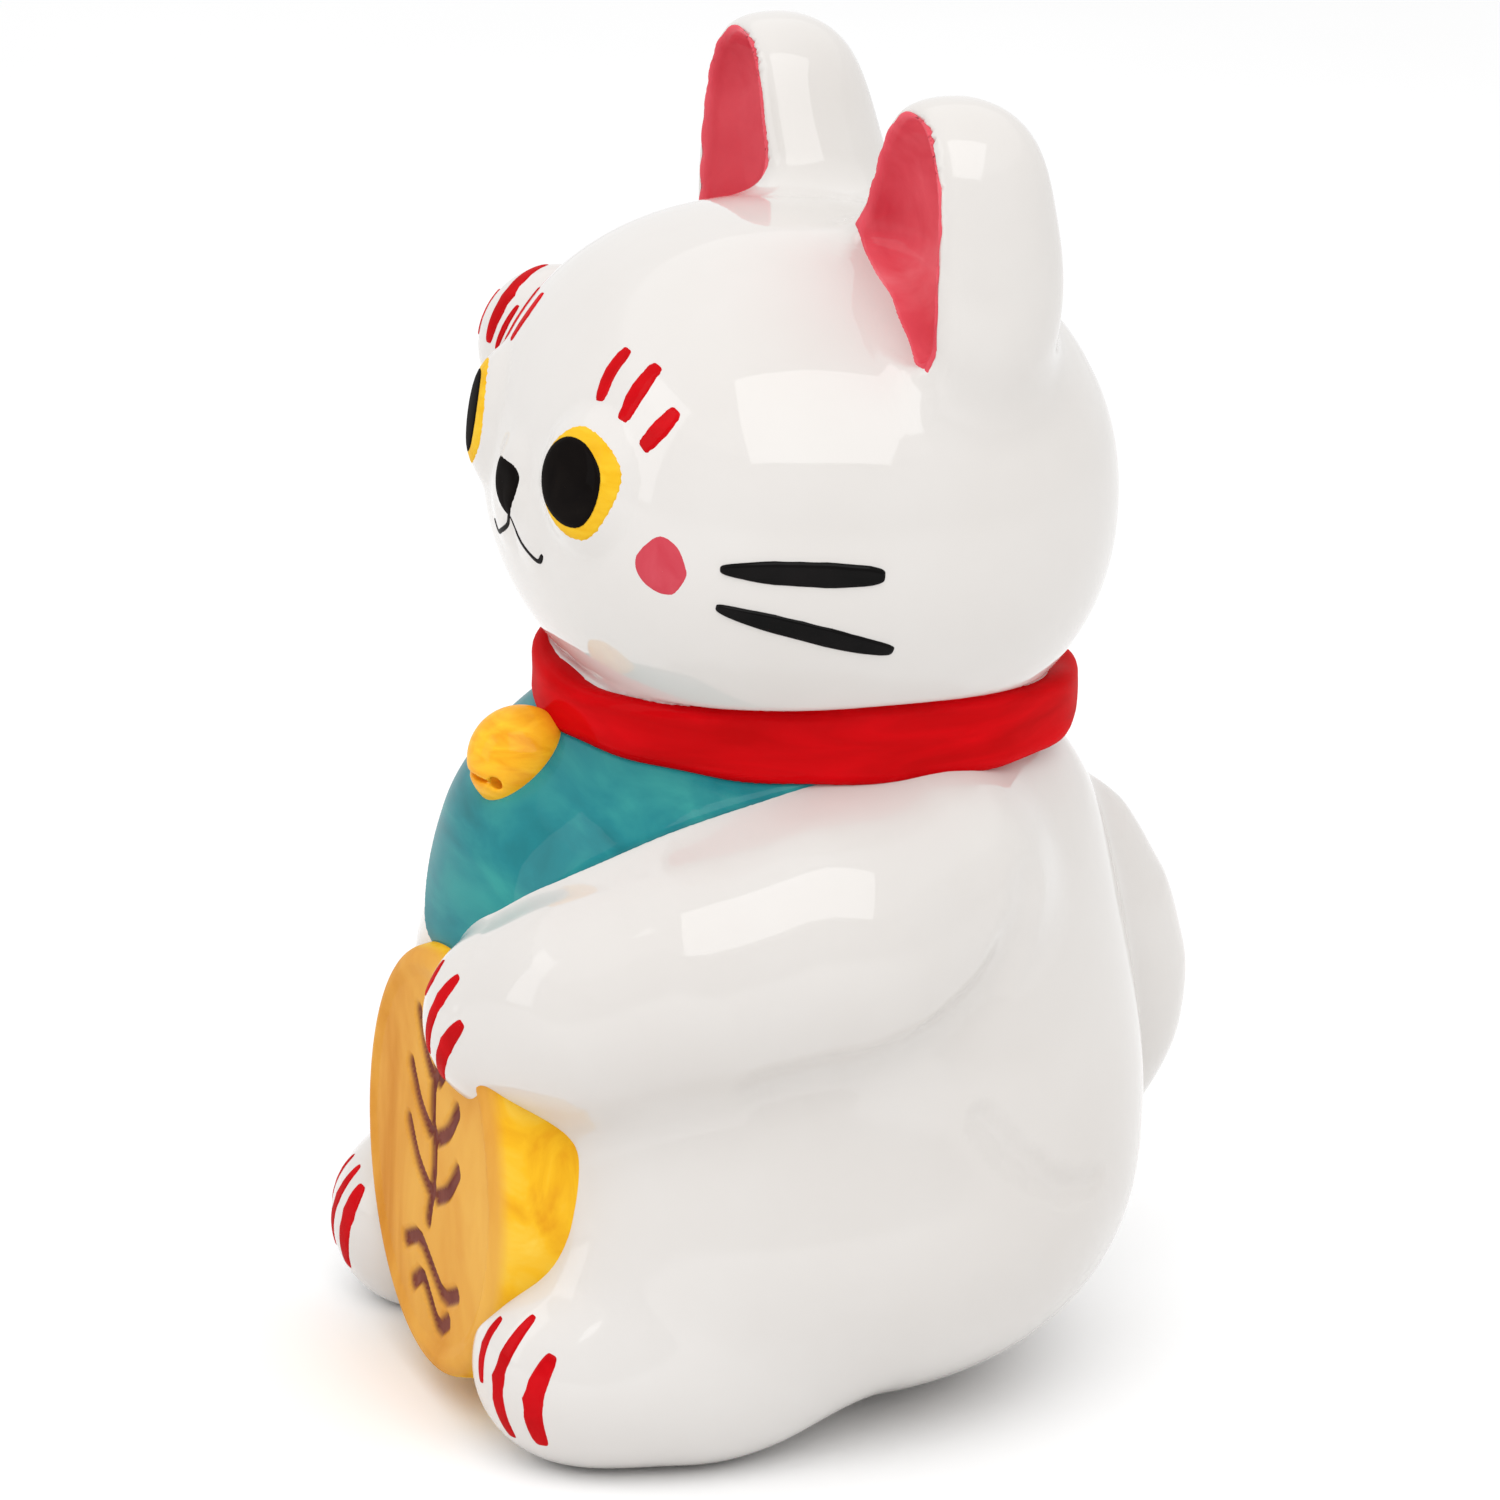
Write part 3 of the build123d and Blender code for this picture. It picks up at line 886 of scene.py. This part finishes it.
def face():
    """Eyes, brows, cheeks, whiskers, nose and mouth."""
    yellow = [(15.8, -35.5, 122.7), (20.6, -34.0, 121.9), (24.0, -32.9, 118.6), (24.0, -34.2, 114.2),
              (20.6, -35.7, 109.8), (16.4, -37.3, 109.4), (12.2, -38.2, 111.7), (10.4, -37.8, 115.2),
              (11.6, -37.4, 119.5)]
    pupil = [(15.0, -36.7, 120.9), (18.9, -35.7, 120.7), (22.0, -35.1, 118.2), (22.2, -35.7, 114.4),
             (20.0, -36.6, 111.5), (16.3, -37.7, 111.1), (12.6, -38.3, 112.8), (11.2, -38.1, 115.8),
             (12.2, -37.5, 118.8)]
    pupil_outer_edge = 22.4
    right_pupil_share = 0.84
    far_nose_share = 1.5
    brows = [([(14.7, -29.4, 130.8), (14.6, -31.4, 128.3), (15.5, -33.2, 125.0)], (2.2, 2.6, 2.1)),
             ([(20.3, -27.8, 130.1), (20.2, -30.0, 127.4), (20.4, -32.2, 123.8)], (2.4, 2.9, 2.4)),
             ([(26.1, -27.6, 126.2), (25.6, -29.3, 124.0), (24.5, -31.2, 121.5)], (2.2, 2.7, 2.4))]
    cheek = [(28.6, -30.7, 112.4), (30.7, -29.1, 112.0), (31.9, -28.1, 109.6), (31.9, -28.0, 107.8),
             (30.2, -29.1, 105.4), (28.0, -30.7, 105.5), (26.1, -32.1, 107.1), (26.0, -32.3, 109.5)]
    whiskers = [([(34.7, -25.2, 109.6), (39.5, -17.3, 109.8), (41.7, -7.8, 109.5)], (1.6, 2.9, 3.2, 2.6)),
                ([(34.0, -25.3, 105.0), (38.7, -16.8, 102.9), (40.0, -5.7, 100.1)], (1.6, 2.5, 2.7, 2.1))]
    half_nose = [(1.9, -38.3, 114.4), (3.6, -38.1, 113.5), (3.7, -38.4, 112.0), (2.7, -38.6, 110.0),
                 (1.1, -38.4, 108.1)]
    smile = [(0.0, -38.2, 108.0), (1.6, -38.0, 106.1), (4.6, -37.7, 104.6), (7.1, -37.1, 103.9),
             (8.6, -37.1, 105.1)]
    for side, label in ((1, "left"), (-1, "right")):
        turned = (lambda points: points) if side > 0 else flip
        share = 1.0 if side > 0 else right_pupil_share
        seen = [(pupil_outer_edge - (pupil_outer_edge - x) * share, y, z) for x, y, z in pupil]
        spot(f"eye_ring_{label}", head_form, turned(yellow), YELLOW, rise=0.2, ragged=0.012)
        spot(f"pupil_{label}", head_form, turned(seen), PUPIL, rise=0.12, ragged=0.02,
             ground=0.27)
        for number, (brow, widths) in enumerate(brows, 1):
            stroke(f"brow_{label}_{number}", head_form, turned(brow), widths, RED_LINE,
                   square=0.4, ragged=0.25)
        spot(f"cheek_{label}", head_form, turned(cheek), CHEEK, rise=0.1, ragged=0.06)
        for number, (whisker, widths) in enumerate(whiskers, 1):
            stroke(f"whisker_{label}_{number}", head_form, turned(whisker), widths, BLACK,
                   rise=0.35, square=0.48)
        stroke(f"mouth_{label}", head_form, turned(smile), (0.9, 0.7, 0.65, 0.7, 1.3), BLACK,
               rise=0.1, ragged=0.1)
    tip = [(0.0, -38.2, 107.5)]
    far_half = [(-far_nose_share * x, y, z) for x, y, z in half_nose]
    spot("nose", head_form, half_nose + tip + far_half[::-1], PUPIL, rise=0.25, ragged=0.03)


def paws():
    """Three red toe lines on each foot and on both hands."""
    left_foot = [([(28.8, -47.1, 19.1), (28.1, -48.8, 15.5), (28.8, -49.4, 11.0)], (1.3, 1.9, 1.3)),
                 ([(32.7, -44.4, 20.6), (32.1, -48.6, 12.8), (31.7, -46.3, 4.9)], (1.5, 2.5, 1.9)),
                 ([(37.0, -43.6, 17.3), (36.5, -45.8, 11.4), (35.4, -44.0, 5.2)], (2.0, 3.1, 2.4))]
    right_foot = [([(-20.8, -48.4, 17.2), (-21.6, -49.4, 13.0), (-23.4, -48.6, 5.4)], (1.9, 3.0, 2.3)),
                  ([(-23.6, -48.1, 19.0), (-25.3, -50.2, 14.0), (-27.6, -49.8, 6.5)], (1.2, 2.2, 1.6)),
                  ([(-27.6, -48.0, 19.3), (-29.8, -49.6, 15.0), (-31.6, -48.8, 9.0)], (0.9, 1.5, 1.0))]
    holding = [([(12.7, -49.9, 58.4), (12.8, -51.3, 56.1), (12.0, -51.8, 53.8)], (1.2, 2.0, 1.3)),
               ([(18.6, -50.0, 58.3), (17.4, -51.8, 55.1), (14.7, -52.2, 47.2)], (1.6, 2.4, 1.6)),
               ([(22.1, -50.4, 53.6), (19.7, -51.4, 50.1), (15.5, -49.8, 44.8)], (1.7, 2.5, 1.7))]
    raised = [([(-45.1, -24.2, 124.2), (-45.1, -25.9, 121.7), (-44.2, -27.0, 118.6)], (0.9, 1.5, 0.9)),
              ([(-43.4, -18.6, 127.2), (-40.2, -24.8, 124.4), (-39.6, -27.4, 118.6)], (1.9, 3.1, 2.0)),
              ([(-37.3, -24.4, 123.8), (-37.3, -26.2, 121.1), (-37.8, -27.0, 118.2)], (0.8, 1.1, 0.8))]
    groups = (("foot_line_left", left_foot), ("foot_line_right", right_foot),
              ("holding_paw_line", holding), ("raised_paw_line", raised))
    for label, lines in groups:
        for number, (line, widths) in enumerate(lines, 1):
            stroke(f"{label}_{number}", outer_form, line, widths, RED_LINE, square=0.42)


casting()
trimming("collar", collar_form, "collar_band", COLLAR_LOW - 2.5, COLLAR_HIGH + 2.8, 0.7, RED)
trimming("bib", bib_form, "bib_panel", BIB_LOW - 3, BIB_HIGH + 3, 0.6, TEAL)
trimming("bell_ball", bell_form, "bell", BELL_CENTRE - BELL_REACH, BELL_CENTRE + BELL_REACH, 0.3, GOLD)
koban()
stopper()
ear_lining("ear_lining_left", 1)
ear_lining("ear_lining_right", -1)
face()
paws()


# ---------------------------------------------------------------- stage, camera and light

AZIMUTH = math.radians(68.1)
TILT = math.radians(17.2)
ROLL = math.radians(-1.96)
DISTANCE = 720.7
AIM_HEIGHT = 75.6
AIM_SHIFT = -6.29
LENS = 143.04
SENSOR = 36
RIGHT = Vector((math.cos(AZIMUTH), math.sin(AZIMUTH), 0))
AHEAD = Vector((-math.sin(AZIMUTH) * math.cos(TILT), math.cos(AZIMUTH) * math.cos(TILT), -math.sin(TILT)))
UP = RIGHT.cross(AHEAD)


def camera():
    """The fitted view of the photo."""
    data = bpy.data.cameras.new("camera")
    data.lens = LENS
    data.sensor_width = SENSOR
    eye = bpy.data.objects.new("camera", data)
    bpy.context.scene.collection.objects.link(eye)
    x = RIGHT * math.cos(ROLL) - UP * math.sin(ROLL)
    y = RIGHT * math.sin(ROLL) + UP * math.cos(ROLL)
    where = Vector(ORIGIN) + (Vector((0, 0, AIM_HEIGHT)) + RIGHT * AIM_SHIFT - AHEAD * DISTANCE) * MM
    eye.matrix_world = Matrix.Translation(where) @ Matrix((x, y, -AHEAD)).transposed().to_4x4()
    bpy.context.scene.camera = eye


LIT_HEIGHT = 0.08


def softbox(name, towards, distance, size, power):
    """An area light, placed by its direction from the cat: right, towards the camera and up."""
    data = bpy.data.lights.new(name, "AREA")
    data.shape = "RECTANGLE"
    data.size, data.size_y = size
    data.energy = power
    lamp = bpy.data.objects.new(name, data)
    bpy.context.scene.collection.objects.link(lamp)
    direction = (RIGHT * towards[0] - AHEAD * towards[1] + UP * towards[2]).normalized()
    lamp.location = Vector(ORIGIN) + Vector((0, 0, LIT_HEIGHT)) + direction * distance
    lamp.rotation_mode = "QUATERNION"
    lamp.rotation_quaternion = direction.to_track_quat("Z", "Y")


FLOOR_RADIUS = 3.0


def floor():
    """A pale disc, wide enough to reach out of the picture."""
    mesh = bpy.data.meshes.new("floor")
    count = 64
    ring = [(FLOOR_RADIUS * math.cos(a), FLOOR_RADIUS * math.sin(a), 0) for a in turns(count)]
    mesh.from_pydata(ring, [], [list(range(count))])
    mesh.materials.append(floor_material())
    ground = bpy.data.objects.new("floor", mesh)
    bpy.context.scene.collection.objects.link(ground)


def studio_walls():
    """White walls behind and beside the cat, and a dim room in front of it."""
    world = bpy.data.worlds.new("studio")
    bpy.context.scene.world = world
    world.use_nodes = True
    nodes, links = world.node_tree.nodes, world.node_tree.links
    where = nodes.new("ShaderNodeTexCoord")
    facing = nodes.new("ShaderNodeVectorMath")
    facing.operation = "DOT_PRODUCT"
    facing.inputs[1].default_value = AHEAD
    links.new(where.outputs["Generated"], facing.inputs[0])
    share = nodes.new("ShaderNodeMapRange")
    share.inputs["From Min"].default_value = -1
    links.new(facing.outputs["Value"], share.inputs["Value"])
    walls = ramp(nodes, links, share.outputs["Result"],
                 [(0.0, (0.62,) * 3), (0.3, (0.71,) * 3), (0.6, (0.82,) * 3), (1.0, (1.0,) * 3)])
    links.new(walls, nodes["Background"].inputs["Color"])


def overhead():
    """A wide, even light from above."""
    data = bpy.data.lights.new("overhead", "SUN")
    data.energy = 0.66
    data.angle = math.radians(120)
    lamp = bpy.data.objects.new("overhead", data)
    bpy.context.scene.collection.objects.link(lamp)


camera()
floor()
studio_walls()
overhead()
softbox("key_softbox", towards=(0.05, 0.80, 0.60), distance=1.0, size=(1.08, 0.80), power=5.0)
softbox("left_softbox", towards=(-0.95, 0.25, 0.30), distance=1.2, size=(0.5, 0.9), power=1.6)
bpy.context.scene.view_settings.view_transform = "Standard"
